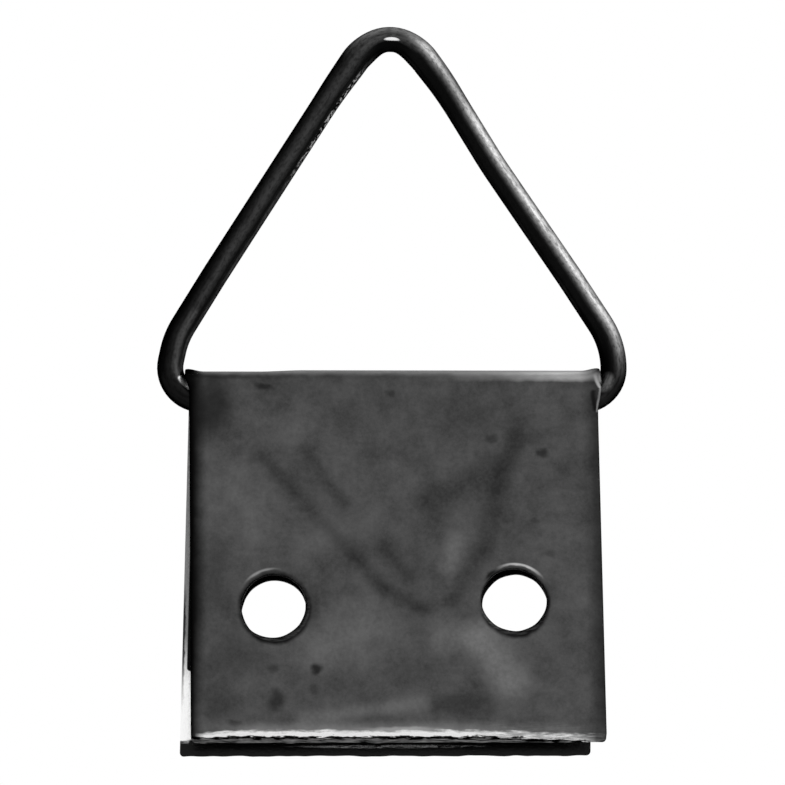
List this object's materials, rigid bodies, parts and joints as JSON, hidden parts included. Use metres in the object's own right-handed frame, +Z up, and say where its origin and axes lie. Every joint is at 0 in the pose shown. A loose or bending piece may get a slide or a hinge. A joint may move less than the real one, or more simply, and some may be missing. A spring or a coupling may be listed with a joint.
{
  "type": "hinged picture hanger",
  "caption": "Hinged picture hanger: a folded steel plate with screw holes holds the base of a bent wire triangle, which swings in the fold and hooks over a nail.",
  "frame": {"origin": "on the back leaf's outer face, midway between the two screw holes", "axes": "+Z up towards the triangle's apex, +Y out of the back face into the picture frame, +X to the right seen from the front"},
  "size_m": [0.0232, 0.0032, 0.0364],
  "materials": {
    "plate_steel": "dull dark grey sheet steel",
    "wire_steel": "blackened drawn steel wire"
  },
  "bodies": {
    "plate": {"folded_plate": "plate_steel"},
    "triangle": {"triangle_wire": "wire_steel"}
  },
  "joints": [
    {"name": "triangle_swing", "type": "hinge", "parent": "plate", "child": "triangle", "pos_m": [0, -0.00145, 0.01034], "axis": [1, 0, 0], "range_deg": [-140, 140]}
  ]
}
